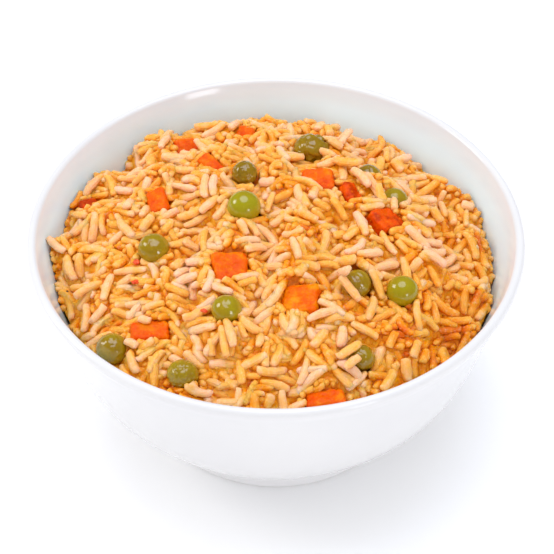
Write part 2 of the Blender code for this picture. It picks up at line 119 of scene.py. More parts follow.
# Sticky mass at the core's top; the blur and the spread are in cells of the height map
MASS_BLUR = 2
MASS_SINK = 1.1 * MM
MASS_LUMP = 0.8 * MM
MASS_LUMP_LENGTH = 4.5 * MM
MASS_LUMP_WIDTH = 1.5 * MM
MASS_LUMP_TURNING = 7 * MM
MASS_SPREAD = 6
MASS_PIT = 1.9 * MM
MASS_CREST = 0.4 * MM
UNDER_TOPPINGS = 2.0 * MM

# Cooked long-grain rice: whole, curved and broken grains
Kind = namedtuple("Kind", "name share length width bluntness bend")
KINDS = (
    Kind("rice_whole_grains", 0.48, (6.6 * MM, 9.2 * MM), (2.1 * MM, 2.8 * MM), 0.30, 0.05),
    Kind("rice_curved_grains", 0.30, (6.2 * MM, 9.0 * MM), (2.1 * MM, 2.7 * MM), 0.38, 0.12),
    Kind("rice_broken_grains", 0.22, (3.6 * MM, 6.0 * MM), (2.2 * MM, 2.9 * MM), 0.24, 0.04),
)
GRAIN_THICKNESS = 0.86
GRAIN_SIDES = 8
GRAIN_RINGS = 8
GRAIN_UNEVENNESS = 0.55 * MM
UNEVEN_SIZE = 1.6 * MM
ROLL_SPREAD = 0.5
RIDGE_PITCH = 0.16

# Pile: the height map, how grains lie on each other, and how many there are;
# steepness is in degrees
CELL = 0.3 * MM
PLAN_HALF = 66 * MM
STEPS_ALONG = 33
STEPS_ACROSS = 11
STEPS_ROUND = 24
STICKY_SINK = 0.35 * MM
STEEPEST_GRAIN = 1.1
CLUMPS = 90
WAVES = 14
ANYHOW_SHARE = 0.35
CLUMP_TURN_SPREAD = 0.35
LEANING_SHARE = 0.3
SHEAF_SHARE = 0.45
SHEAF_TURN_SPREAD = 0.12
SPOTS_TRIED = 40
BEST_SPOTS = 5
TINT_MIDDLE = 0.45
TINT_SPREAD = 0.24
MOST_GRAINS = 3000
MOST_MISSES = 60
MOST_PROUD = 1.0 * MM
LOOSE_TRIES = 200
LOOSE_PROUD = 1.7 * MM
LEAST_GAP = 2.2 * MM
PLUG_STEEPNESS = (8, 30)
PLUG_DEPTH = (0.4 * MM, 1.6 * MM)
PLUG_ROOT = 0.9
PLUG_MIDDLE = 0.44
COVER_WIDTH = 2.5 * MM

# Toppings in the pile: how far grains may lie over their edges, and how high the
# rice is banked up against them
PEA_MARGIN = 1.6 * MM
PEA_BURY = 0.40
CARROT_MARGIN = 0.3 * MM
CARROT_BURY = 0.80
BANK_SLOPE = 0.5
BANK_REACH = 4 * MM

# Painted light and shade on the rice: paler on top, a deeper orange as painted shade lower down
# between the grains, and deeper again on the heap's shaded front right
UNSHADED_RISE = 0.9 * MM
GAP_SHADE_DEPTH = 3.2 * MM
# Middle and reach of the heap's shaded front right, painted a deeper orange as shade
SHADED_SIDE = (40 * MM, -30 * MM, 54 * MM)
SHADED_SIDE_WIDTH = 22 * MM


# Node helpers

def linear(hex_colour):
    """An sRGB hex colour as linear red, green, blue and alpha."""
    parts = [int(hex_colour[i:i + 2], 16) / 255 for i in (1, 3, 5)]
    return (*[p / 12.92 if p <= 0.04045 else ((p + 0.055) / 1.055) ** 2.4 for p in parts], 1.0)


def set_inputs(tree, node, inputs):
    """Fill or link a node's inputs by name or number."""
    for key, value in inputs.items():
        if isinstance(value, bpy.types.NodeSocket):
            tree.links.new(value, node.inputs[key])
        else:
            node.inputs[key].default_value = value


def add_node(tree, kind, inputs=None, **settings):
    """Add a node with its settings, and fill or link its inputs."""
    node = tree.nodes.new(kind)
    for name, value in settings.items():
        setattr(node, name, value)
    set_inputs(tree, node, inputs or {})
    return node


def calculate(tree, operation, *values):
    inputs = dict(enumerate(values))
    return add_node(tree, "ShaderNodeMath", inputs, operation=operation).outputs[0]


def weighted_sum(tree, *terms):
    """Add up (value, weight) pairs."""
    total = 0.0
    for value, weight in terms:
        inputs = {0: value, 1: weight, 2: total}
        total = add_node(tree, "ShaderNodeMath", inputs, operation="MULTIPLY_ADD").outputs[0]
    return total


def mix_colours(tree, share, first, second):
    inputs = {0: share, 6: first, 7: second}
    return add_node(tree, "ShaderNodeMix", inputs, data_type="RGBA").outputs[2]


def remap(tree, value, low, high, new_low=0.0, new_high=1.0):
    inputs = {"Value": value, "From Min": low, "From Max": high,
              "To Min": new_low, "To Max": new_high}
    return add_node(tree, "ShaderNodeMapRange", inputs).outputs["Result"]


def speckle(tree, place, feature, detail=2.0):
    """Noise whose features are about this large."""
    inputs = {"Vector": place, "Scale": 1.0 / feature, "Detail": detail}
    return add_node(tree, "ShaderNodeTexNoise", inputs).outputs["Fac"]


def colour_ramp(tree, factor, stops):
    """A ramp whose stops are (place, hex colour) pairs."""
    ramp = add_node(tree, "ShaderNodeValToRGB", {"Fac": factor})
    elements = ramp.color_ramp.elements
    while len(elements) < len(stops):
        elements.new(0.5)
    for element, (place, colour) in zip(elements, stops):
        element.position = place
        element.color = linear(colour)
    return ramp.outputs["Color"]


def attribute(tree, name):
    return add_node(tree, "ShaderNodeAttribute", attribute_name=name).outputs["Fac"]


def object_place(tree):
    return add_node(tree, "ShaderNodeTexCoord").outputs["Object"]


def bump(tree, height, depth, strength=1.0):
    inputs = {"Height": height, "Distance": depth, "Strength": strength}
    return add_node(tree, "ShaderNodeBump", inputs).outputs["Normal"]


def new_material(name):
    """A material with an empty shader joined to its output."""
    material = bpy.data.materials.new(name)
    material.use_nodes = True
    tree = material.node_tree
    tree.nodes.clear()
    shader = add_node(tree, "ShaderNodeBsdfPrincipled")
    add_node(tree, "ShaderNodeOutputMaterial", {"Surface": shader.outputs["BSDF"]})
    return material, tree, shader


# Materials

def glazed_porcelain():
    """White porcelain under a clear glaze, itself an even, cool white, with a wet gloss and a
    faint ripple in its reflections, and a dry ring where it stands. Over it light and shade are
    painted: a greyer outside as painted shade, a lighter white near the foot as painted light, and
    a brighter, bluer inside that offsets the orange light the rice throws on it."""
    material, tree, shader = new_material("glazed white porcelain")
    place = object_place(tree)
    pooled = speckle(tree, place, 30 * MM)
    height = add_node(tree, "ShaderNodeSeparateXYZ", {"Vector": place}).outputs["Z"]
    bare = remap(tree, height, 0.35 * MM, 0.12 * MM)
    # Outside: a greyer white than the inside, as painted shade.
    outside = colour_ramp(tree, pooled, ((0.3, "#D9D7D6"), (0.7, "#DCDAD8")))
    # Towards the foot a lighter white, painted light that lifts the shade under the bowl.
    low = remap(tree, height, FOOT_HEIGHT + 1.5 * MM, FOOT_HEIGHT - 1 * MM)
    outside = mix_colours(tree, low, outside, linear("#E8E6E6"))
    # Inside: a brighter, bluer white, painted light that offsets the orange light bounced from the
    # rice.
    inside = colour_ramp(tree, pooled, ((0.3, "#DDF6FF"), (0.7, "#E0F8FF")))
    glaze = mix_colours(tree, attribute(tree, "inside"), outside, inside)
    set_inputs(tree, shader, {
        "Base Color": mix_colours(tree, bare, glaze, linear("#DAD7D2")),
        "Roughness": remap(tree, bare, 0.0, 1.0, 0.12, 0.75),
        "Normal": bump(tree, speckle(tree, place, 9 * MM, 1.0), 0.06 * MM),
        "IOR": 1.52,
    })
    return material


SOFT_STARCH = {"Subsurface Weight": 0.40, "Subsurface Radius": (1.0, 0.60, 0.30),
               "Subsurface Scale": 1.1 * MM, "IOR": 1.42}


def shaded_side(tree, place):
    """The shaded front right of the heap, where the rice is painted a deeper orange as shade, from
    0 far off to 1 in its middle.
    """
    away = add_node(tree, "ShaderNodeVectorMath", {0: place, 1: SHADED_SIDE}, operation="DISTANCE")
    return remap(tree, away.outputs["Value"], SHADED_SIDE_WIDTH, 0.3 * SHADED_SIDE_WIDTH)


def cooked_rice():
    """Soft, moist grains stained with orange oil: pale, slightly clear starch whose stain is
    uneven from grain to grain, fine ridges along each grain and a wet sheen. The orange is painted
    deeper as shade the lower a point lies between the grains and on the heap's shaded front right,
    and paler on top as painted light."""
    material, tree, shader = new_material("cooked rice stained with orange oil")
    place = object_place(tree)
    stain = speckle(tree, place, 1.6 * MM, 3.0)
    tip = remap(tree, calculate(tree, "ABSOLUTE", attribute(tree, "along")), 0.55, 1.0)
    # depth mixes the grain's own tint and stain with painted shade, deeper between the grains and
    # on the heap's shaded side
    depth = weighted_sum(tree, (attribute(tree, "tint"), 0.36), (stain, 0.34), (tip, -0.10),
                         (attribute(tree, "gap_shade"), 0.66), (shaded_side(tree, place), 0.24))
    in_grain = add_node(tree, "ShaderNodeAttribute", attribute_name="in_grain").outputs["Vector"]
    ridges = speckle(tree, in_grain, RIDGE_PITCH)
    relief = weighted_sum(tree, (speckle(tree, place, 0.6 * MM, 3.0), 1.0), (ridges, 1.2))
    pinker = colour_ramp(tree, depth, ((0.18, "#F8C29C"), (0.45, "#F5B44C"),
                                       (0.72, "#EE9000"), (1.0, "#DC6800")))
    yellower = colour_ramp(tree, depth, ((0.18, "#F9C392"), (0.45, "#F5B048"),
                                         (0.72, "#F08E00"), (1.0, "#DE6600")))
    batch = remap(tree, speckle(tree, place, 14 * MM, 1.0), 0.40, 0.60)
    starch = mix_colours(tree, batch, pinker, yellower)
    chalk = remap(tree, speckle(tree, place, 0.7 * MM), 0.55, 0.75, 0.0, 0.35)
    set_inputs(tree, shader, {
        "Base Color": mix_colours(tree, chalk, starch, linear("#FCD6B6")),
        "Roughness": remap(tree, speckle(tree, place, 0.9 * MM), 0.3, 0.7, 0.22, 0.42),
        "Normal": bump(tree, relief, 0.22 * MM),
        "Specular IOR Level": 0.34,
    })
    set_inputs(tree, shader, SOFT_STARCH)
    return material


def rice_mass():
    """The packed, oily rice between the grains that show: the same starch, a deeper and more even
    orange, partly the oil and partly painted shade in the gaps, painted darker the lower it lies
    and on the heap's shaded side, with a soft lumpy surface."""
    material, tree, shader = new_material("packed rice between the grains")
    place = object_place(tree)
    stain = speckle(tree, place, 2.6 * MM, 3.0)
    # depth mixes the mass's own stain with painted shade, deeper the lower it lies and on the
    # heap's shaded side
    depth = weighted_sum(tree, (attribute(tree, "gap_shade"), 0.7), (stain, 0.5),
                         (shaded_side(tree, place), 0.16))
    colour = colour_ramp(tree, depth, ((0.30, "#F8BA4C"), (0.60, "#F29C06"),
                                       (0.85, "#E07600"), (1.0, "#C05C00")))
    set_inputs(tree, shader, {
        "Base Color": colour,
        "Roughness": remap(tree, speckle(tree, place, 1 * MM), 0.3, 0.7, 0.35, 0.55),
        "Normal": bump(tree, speckle(tree, place, 1.8 * MM, 3.0), 0.9 * MM),
        "Specular IOR Level": 0.25,
    })
    set_inputs(tree, shader, SOFT_STARCH)
    return material


def cooked_pea_skin():
    """The thin skin of a boiled pea over soft green flesh: glossy and moist,
    olive where it has turned and fresh green where it hasn't."""
    material, tree, shader = new_material("skin of cooked peas")
    place = object_place(tree)
    ripeness = attribute(tree, "ripeness")
    cloud = speckle(tree, place, 3.5 * MM, 3.0)
    freckle = speckle(tree, place, 0.8 * MM, 2.0)
    green = calculate(tree, "ADD", ripeness, remap(tree, cloud, 0.3, 0.7, -0.16, 0.16))
    colour = colour_ramp(tree, green, ((0.0, "#5E4802"), (0.35, "#927002"),
                                       (0.65, "#9C8202"), (1.0, "#9A9002")))
    pale = remap(tree, freckle, 0.55, 0.8, 0.0, 0.30)
    set_inputs(tree, shader, {
        "Base Color": mix_colours(tree, pale, colour, linear("#B8A61A")),
        "Roughness": remap(tree, freckle, 0.3, 0.7, 0.16, 0.28),
        "Normal": bump(tree, speckle(tree, place, 0.5 * MM, 2.0), 0.04 * MM, 0.6),
        "Subsurface Weight": 0.18,
        "Subsurface Radius": (0.8, 1.0, 0.12),
        "Subsurface Scale": 1.0 * MM,
        "Coat Weight": 1.0,
        "Coat Roughness": 0.10,
        "Coat IOR": 1.6,
        "Specular IOR Level": 0.3,
        "IOR": 1.42,
    })
    return material


def cooked_carrot_flesh():
    """Knife-cut carrot, boiled soft: clear, saturated orange with fine fibres,
    a pitted cut face and a moist sheen."""
    material, tree, shader = new_material("flesh of cooked carrot")
    place = object_place(tree)
    redness = attribute(tree, "redness")
    cloud = speckle(tree, place, 3.0 * MM, 3.0)
    pits = speckle(tree, place, 0.55 * MM, 2.0)
    shade = calculate(tree, "ADD", redness, remap(tree, cloud, 0.3, 0.7, -0.34, 0.34))
    colour = colour_ramp(tree, shade, ((0.0, "#EA8A00"), (0.4, "#E26000"),
                                       (0.75, "#DC4A00"), (1.0, "#B43400")))
    pale = remap(tree, pits, 0.58, 0.78, 0.0, 0.50)
    set_inputs(tree, shader, {
        "Base Color": mix_colours(tree, pale, colour, linear("#F48E04")),
        "Roughness": remap(tree, pits, 0.3, 0.7, 0.24, 0.42),
        "Normal": bump(tree, pits, 0.14 * MM, 0.8),
        "Subsurface Weight": 0.30,
        "Subsurface Radius": (1.0, 0.32, 0.08),
        "Subsurface Scale": 1.6 * MM,
        "Specular IOR Level": 0.14,
        "IOR": 1.42,
    })
    return material


def crumb_stuff(name, dark, light, roughness):
    """Small bits, blotched from dark to light: moist red skin or dry dark spice."""
    material, tree, shader = new_material(name)
    place = object_place(tree)
    blotch = speckle(tree, place, 0.6 * MM, 2.0)
    set_inputs(tree, shader, {
        "Base Color": colour_ramp(tree, blotch, ((0.35, dark), (0.65, light))),
        "Roughness": remap(tree, blotch, 0.3, 0.7, roughness, roughness + 0.15),
        "Normal": bump(tree, speckle(tree, place, 0.3 * MM), 0.08 * MM),
    })
    return material


def pale_table():
    """A plain white matt table with the faintest unevenness."""
    material, tree, shader = new_material("matt white table")
    place = object_place(tree)
    set_inputs(tree, shader, {
        "Base Color": colour_ramp(tree, speckle(tree, place, 90 * MM),
                                  ((0.3, "#FAFAFB"), (0.7, "#FCFCFC"))),
        "Roughness": 0.8,
        "Specular IOR Level": 0.1,
    })
    return material


# Objects

def link(name, mesh, material=None):
    piece = bpy.data.objects.new(name, mesh)
    if material is not None:
        mesh.materials.clear()
        mesh.materials.append(material)
    bpy.context.scene.collection.objects.link(piece)
    return piece


def mesh_from_bmesh(name, bm):
    bmesh.ops.recalc_face_normals(bm, faces=bm.faces)
    mesh = bpy.data.meshes.new(name)
    bm.to_mesh(mesh)
    bm.free()
    mesh.shade_smooth()
    return mesh


def apply_modifiers(piece):
    """Keep the mesh that the modifiers make, and drop them."""
    depsgraph = bpy.context.evaluated_depsgraph_get()
    mesh = bpy.data.meshes.new_from_object(piece.evaluated_get(depsgraph))
    piece.modifiers.clear()
    piece.data = mesh


def store(mesh, name, kind, values):
    """One value or vector per point of the mesh."""
    field = "vector" if kind == "FLOAT_VECTOR" else "value"
    layer = mesh.attributes.new(name, kind, "POINT")
    layer.data.foreach_set(field, np.asarray(values, dtype=np.float32).ravel())


def points_of(mesh):
    spots = np.empty(3 * len(mesh.vertices), dtype=np.float32)
    mesh.vertices.foreach_get("co", spots)
    return spots.reshape(-1, 3)


def hand_over(piece, slot, *nodes):
    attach(piece, BODY)
    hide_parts(*nodes)


# Bowl

def body_curve():
    """The outside of the bowl from its foot to its lip, with its directions."""
    lean = BODY_LEAN_AT_LIP
    lip_middle = Vector((RIM_RADIUS - LIP_RADIUS, BOWL_HEIGHT - LIP_RADIUS))
    end = lip_middle + LIP_RADIUS * Vector((math.cos(lean), -math.sin(lean)))
    start = Vector((FOOT_RADIUS + FOOT_EDGE, FOOT_HEIGHT))
    first = start + BODY_FULLNESS * Vector((math.cos(BODY_SLOPE_AT_FOOT),
                                            math.sin(BODY_SLOPE_AT_FOOT)))
    second = end - BODY_FULLNESS * Vector((math.sin(lean), math.cos(lean)))
    points = []
    for step in range(BODY_STEPS + 1):
        t = step / BODY_STEPS
        u = 1.0 - t
        point = u**3 * start + 3 * u * u * t * first + 3 * u * t * t * second + t**3 * end
        slope = u * u * (first - start) + 2 * u * t * (second - first) + t * t * (end - second)
        points.append((point, slope.normalized()))
    return points


def arc(middle, radius, start, stop):
    """Points round an arc, both ends included; angles in degrees."""
    points = []
    for step in range(ARC_STEPS + 1):
        angle = math.radians(start + (stop - start) * step / ARC_STEPS)
        points.append(middle + radius * Vector((math.cos(angle), math.sin(angle))))
    return points


def inner_wall():
    """The inside of the bowl, from under the lip to the middle of its floor."""
    points = []
    for step, (point, slope) in enumerate(reversed(body_curve())):
        share = step / BODY_STEPS
        wall = WALL_AT_LIP + (WALL_AT_FOOT - WALL_AT_LIP) * share**3
        points.append(point + wall * Vector((-slope.y, slope.x)))
    corner = points[-1]
    run = (corner.y - FLOOR_HEIGHT) / math.tan(BODY_SLOPE_AT_FOOT)
    bend = Vector((corner.x - run, FLOOR_HEIGHT))
    floor_edge = Vector((FLOOR_RADIUS, FLOOR_HEIGHT))
    for step in range(1, ARC_STEPS + 1):
        t = step / ARC_STEPS
        points.append((1 - t) ** 2 * corner + 2 * t * (1 - t) * bend + t * t * floor_edge)
    points.append(Vector((0.0, FLOOR_HEIGHT)))
    return points


def bowl_profile():
    """Recess, foot ring, outside, lip and inside, in one line."""
    ring_inside = FOOT_RADIUS - FOOT_RING_WIDTH
    edge = FOOT_EDGE
    lip_middle = Vector((RIM_RADIUS - LIP_RADIUS, BOWL_HEIGHT - LIP_RADIUS))
    points = [Vector((0.0, RECESS_HEIGHT)), Vector((ring_inside - 3 * edge, RECESS_HEIGHT))]
    points += arc(Vector((ring_inside - edge, RECESS_HEIGHT - edge)), edge, 90, 0)
    points += arc(Vector((ring_inside + edge, edge)), edge, 180, 270)
    points += arc(Vector((FOOT_RADIUS - edge, edge)), edge, -90, 0)
    points += arc(Vector((FOOT_RADIUS + edge, FOOT_HEIGHT - edge)), edge, 180, 133)
    points += [point for point, slope in body_curve()]
    lean = math.degrees(BODY_LEAN_AT_LIP)
    points += arc(lip_middle, LIP_RADIUS, -lean, 180 - lean)[1:]
    return points + inner_wall()


def make_bowl(material):
    """Turn the section once round the upright axis."""
    bm = bmesh.new()
    verts = [bm.verts.new((point.x, 0.0, point.y)) for point in bowl_profile()]
    edges = [bm.edges.new(pair) for pair in zip(verts, verts[1:])]
    bmesh.ops.spin(bm, geom=verts + edges, cent=(0, 0, 0), axis=(0, 0, 1),
                   angle=math.tau, steps=BOWL_SEGMENTS, use_merge=True)
    bmesh.ops.remove_doubles(bm, verts=bm.verts, dist=0.02 * MM)
    mesh = mesh_from_bmesh("bowl_glazed", bm)
    spots = points_of(mesh)
    radius = np.hypot(spots[:, 0], spots[:, 1])
    wall = wall_heights(radius)
    inside = (np.abs(spots[:, 2] - wall) < 0.5 * MM) | (spots[:, 2] > BOWL_HEIGHT - LIP_RADIUS)
    # How much of the inside's painted bluer, brighter white each point takes: none on the rim, all
    # from the fade depth down
    painted_inside_share = np.clip((BOWL_HEIGHT - spots[:, 2]) / PAINTED_INSIDE_FADE, 0.0, 1.0)
    store(mesh, "inside", "FLOAT", painted_inside_share * (inside & (radius < RIM_RADIUS - LIP_RADIUS)))
    return link("bowl_glazed", mesh, material)


# Heap

def heap_height(x, y):
    """The middle height of the grains that show; takes numbers or arrays."""
    height = HEAP_TOP - HEAP_DROP * (np.hypot(x, y) / HEAP_RADIUS) ** HEAP_POWER
    for lump in HEAP_LUMPS:
        apart = np.hypot(x - lump.x, y - lump.y) / lump.spread
        height = height + lump.rise * np.exp(-0.5 * apart * apart)
    return height


def wall_heights(radius):
    """The height of the bowl's inside at each radius."""
    wall = inner_wall()[::-1]
    return np.interp(radius, [p.x for p in wall], [p.y for p in wall], right=BOWL_HEIGHT)


# Pile of grains

Grain = namedtuple("Grain", "kind middle direction side length width tint")


class Pile:
    """A height map of what lies in the bowl, on which grains come to rest."""

    def __init__(self, rng):
        self.rng = rng
        self.count = int(round(2 * PLAN_HALF / CELL)) + 1
        axis = np.linspace(-PLAN_HALF, PLAN_HALF, self.count)
        self.x, self.y = np.meshgrid(axis, axis, indexing="ij")
        self.target = heap_height(self.x, self.y) + CLUMP_RISE * self.clump_waves()
        wall = wall_heights(np.hypot(self.x, self.y))
        self.height = np.maximum(heap_height(self.x, self.y) - CORE_DEPTH, wall)
        self.inside = self.target > wall
        self.packed = self.height.copy()
        self.closed = np.zeros(self.x.shape, dtype=bool)
        self.grains = []
        self.turns = [(*self.random_spot(), rng.uniform(0, math.pi)) for _ in range(CLUMPS)]
        along = np.linspace(-0.97, 0.97, STEPS_ALONG)
        across = np.linspace(-0.92, 0.92, STEPS_ACROSS)
        self.along, self.across = np.meshgrid(along, across, indexing="ij")
        self.left, self.right = along < -0.05, along > 0.05

    def clump_waves(self):
        """Rice comes out in clumps, so the heap has soft hummocks."""
        waves = np.zeros(self.x.shape)
        for _ in range(WAVES):
            angle = self.rng.uniform(0, math.tau)
            pitch = CLUMP_SIZE * self.rng.uniform(0.8, 2.0)
            way = self.x * math.cos(angle) + self.y * math.sin(angle)
            waves += np.sin(math.tau * way / pitch + self.rng.uniform(0, math.tau))
        return waves / math.sqrt(0.5 * WAVES)

    def random_spot(self):
        radius = HEAP_RADIUS * math.sqrt(self.rng.random())
        angle = self.rng.uniform(0, math.tau)
        return radius * math.cos(angle), radius * math.sin(angle)

    def cells(self, x, y):
        rows = np.clip(np.rint((x + PLAN_HALF) / CELL).astype(int), 0, self.count - 1)
        columns = np.clip(np.rint((y + PLAN_HALF) / CELL).astype(int), 0, self.count - 1)
        return rows, columns

    def add_topping(self, node, margin, bury):
        """Let grains lean on a topping and rise round it, but not lie over its middle."""
        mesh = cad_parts[node].data
        tree = BVHTree.FromPolygons([v.co.copy() for v in mesh.vertices],
                                    [tuple(p.vertices) for p in mesh.polygons])
        low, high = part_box(node)
        rows, columns = self.cells(np.array((low.x, high.x)), np.array((low.y, high.y)))
        block = np.zeros((rows[1] - rows[0] + 1, columns[1] - columns[0] + 1), dtype=bool)
        for i in range(block.shape[0]):
            for j in range(block.shape[1]):
                row, column = rows[0] + i, columns[0] + j
                start = Vector((self.x[row, column], self.y[row, column], 2 * BOWL_HEIGHT))
                hit = tree.ray_cast(start, Vector((0, 0, -1)))[0]
                if hit is not None:
                    block[i, j] = True
                    self.height[row, column] = max(self.height[row, column], hit.z)
        for _ in range(int(round(margin / CELL))):
            inner = block.copy()
            inner[1:] &= block[:-1]
            inner[:-1] &= block[1:]
            inner[:, 1:] &= block[:, :-1]
            inner[:, :-1] &= block[:, 1:]
            inner[[0, -1]] = False
            inner[:, [0, -1]] = False
            block = inner
        self.closed[rows[0]:rows[1] + 1, columns[0]:columns[1] + 1] |= block
        middle, half = 0.5 * (low + high), 0.25 * (high.x - low.x + high.y - low.y)
        apart = np.maximum(np.hypot(self.x - middle.x, self.y - middle.y) - half, 0.0)
        bank = low.z + bury * (high.z - low.z) - BANK_SLOPE * apart
        near = apart < BANK_REACH
        self.target[near] = np.maximum(self.target, bank)[near]

    def footprint(self, x, y, turn, kind, length, width):
        """The cells under a grain and half its depth over each."""
        spindle = (1.0 - self.along**2) ** (0.5 * kind.bluntness)
        run = 0.5 * length * self.along
        aside = 0.5 * width * self.across * spindle
        depth = 0.5 * width * GRAIN_THICKNESS * spindle * np.sqrt(1.0 - self.across**2)
        spots = self.cells(x + run * math.cos(turn) - aside * math.sin(turn),
                           y + run * math.sin(turn) + aside * math.cos(turn))
        return spots, run, depth

    def rest(self, x, y, turn, kind, length, width, lean=None):
        """The lowest height and the slope at which the grain is held on both sides."""
        spots, run, depth = self.footprint(x, y, turn, kind, length, width)
        need = (self.height[spots] + depth).max(axis=1)
        at = run[:, 0]
        left, right = at[self.left][:, None], at[self.right][None, :]
        low, high = need[self.left][:, None], need[self.right][None, :]
        middle = (low * right - high * left) / (right - left)
        i, j = np.unravel_index(np.argmax(middle), middle.shape)
        slope = (high[0, j] - low[i, 0]) / (right[0, j] - left[i, 0])
        slope = lean or max(-STEEPEST_GRAIN, min(STEEPEST_GRAIN, slope))
        return (need - slope * at).max(), slope, spots

    def proud(self, x, y, turn, length, height, slope):
        """How far the grain's line stands above the heap, at its highest."""
        shares = np.array((-0.42, 0.0, 0.42)) * length
        spots = self.cells(x + shares * math.cos(turn), y + shares * math.sin(turn))
        return (height + slope * shares - self.target[spots]).max()

    def direction(self, x, y):
        """Grains of a clump lie nearly side by side, and a third lie anyhow."""
        if self.rng.random() < ANYHOW_SHARE:
            return self.rng.uniform(0, math.pi)
        nearest = min(self.turns, key=lambda t: (x - t[0]) ** 2 + (y - t[1]) ** 2)
        return nearest[2] + self.rng.gauss(0, CLUMP_TURN_SPREAD)

    def keep(self, middle, direction, kind, length, width):
        """Add a grain, and raise the height map to its upper side."""
        side = Vector((-direction.y, direction.x, 0)).normalized()
        over = direction.cross(side)
        tint = min(1.0, max(0.0, self.rng.gauss(TINT_MIDDLE, TINT_SPREAD)))
        self.grains.append(Grain(kind, middle, direction, side, length, width, tint))
        along, round_it = np.meshgrid(np.linspace(-0.99, 0.99, STEPS_ALONG),
                                      np.linspace(0, math.tau, STEPS_ROUND), indexing="ij")
        spindle = 0.5 * width * (1.0 - along**2) ** (0.5 * kind.bluntness)
        points = [middle[axis] + 0.5 * length * along * direction[axis]
                  + spindle * np.cos(round_it) * side[axis]
                  + spindle * GRAIN_THICKNESS * np.sin(round_it) * over[axis]
                  for axis in range(3)]
        spots = self.cells(points[0], points[1])
        np.maximum.at(self.height, spots, points[2])
        np.maximum.at(self.packed, spots, points[2])

    def lower(self, x, y, turn, kind, length, width, rest):
        """Keep a grain where it came to rest, pressed a little into the others."""
        direction = Vector((math.cos(turn), math.sin(turn), rest[1])).normalized()
        self.keep(Vector((x, y, rest[0] - STICKY_SINK)), direction, kind, length, width)

    def pick_kind(self):
        share = self.rng.random()
        for kind in KINDS:
            share -= kind.share
            if share < 0:
                return kind
        return KINDS[0]

    def sizes(self, kind):
        return self.rng.uniform(*kind.length), self.rng.uniform(*kind.width)

    def low_spots(self, count):
        """Of many places, those where the heap still lacks most."""
        spots = []
        while len(spots) < SPOTS_TRIED:
            x, y = self.random_spot()
            row = int(round((x + PLAN_HALF) / CELL))
            column = int(round((y + PLAN_HALF) / CELL))
            if self.inside[row, column] and not self.closed[row, column]:
                spots.append((self.height[row, column] - self.target[row, column], x, y))
        return sorted(spots)[:count]

    def fits(self, x, y, turn, length, rest, most_proud):
        above = self.proud(x, y, turn, length, rest[0], rest[1])
        return above if above < most_proud and not self.closed[rest[2]].any() else None

    def add_best(self, most_proud):
        """Settle a grain at the lowest of several places; False when none is free."""
        kind = self.pick_kind()
        length, width = self.sizes(kind)
        best = None
        for _, x, y in self.low_spots(BEST_SPOTS):
            turn = self.direction(x, y)
            lean = self.rng.choice((-1, 1)) * self.rng.uniform(0.3, 1.0)
            lean = lean if self.rng.random() < LEANING_SHARE else None
            rest = self.rest(x, y, turn, kind, length, width, lean)
            above = self.fits(x, y, turn, length, rest, most_proud)
            if above is not None and (best is None or above < best[0]):
                best = (above, x, y, turn, rest)
        if best is None:
            return False
        _, x, y, turn, rest = best
        self.lower(x, y, turn, kind, length, width, rest)
        self.add_neighbours(x, y, turn, kind, width, most_proud)
        return True

    def add_neighbours(self, x, y, turn, kind, width, most_proud):
        """Sticky grains lie in small sheaves."""
        while self.rng.random() < SHEAF_SHARE:
            aside = self.rng.choice((-1, 1)) * 0.95 * width
            shift = self.rng.uniform(-1.2, 1.2) * MM
            x += shift * math.cos(turn) - aside * math.sin(turn)
            y += shift * math.sin(turn) + aside * math.cos(turn)
            turn += self.rng.gauss(0, SHEAF_TURN_SPREAD)
            length, width = self.sizes(kind)
            rest = self.rest(x, y, turn, kind, length, width)
            if self.fits(x, y, turn, length, rest, most_proud) is None:
                return
            self.lower(x, y, turn, kind, length, width, rest)

    def plug_gaps(self, least_gap):
        """Steep grains in the gaps between the others, their upper ends in sight."""
        rows, columns = np.nonzero(self.inside & ~self.closed
                                   & (self.target - self.height > least_gap))
        order = list(range(len(rows)))
        self.rng.shuffle(order)
        for index in order:
            row, column = rows[index], columns[index]
            if self.target[row, column] - self.height[row, column] < least_gap:
                continue
            kind = self.rng.choice(KINDS[:2])
            length, width = self.sizes(kind)
            turn = self.rng.uniform(0, math.tau)
            steep = math.radians(self.rng.uniform(*PLUG_STEEPNESS))
            direction = Vector((math.cos(turn) * math.cos(steep),
                                math.sin(turn) * math.cos(steep), math.sin(steep)))
            end = Vector((self.x[row, column], self.y[row, column],
                          self.target[row, column] - self.rng.uniform(*PLUG_DEPTH)))
            root = end - PLUG_ROOT * length * direction
            if wall_heights(root.xy.length + width) > root.z - width:
                continue
            shares = np.linspace(0.0, 1.0, 9)
            if self.closed[self.cells(root.x + shares * (end.x - root.x),
                                      root.y + shares * (end.y - root.y))].any():
                continue
            self.keep(end - PLUG_MIDDLE * length * direction, direction, kind, length, width)

    def lay(self, x, y, degrees, kind, length, width):
        """Settle one grain just where it is seen to lie."""
        turn = math.radians(degrees)
        rest = self.rest(x, y, turn, kind, length, width)
        self.lower(x, y, turn, kind, length, width, rest)


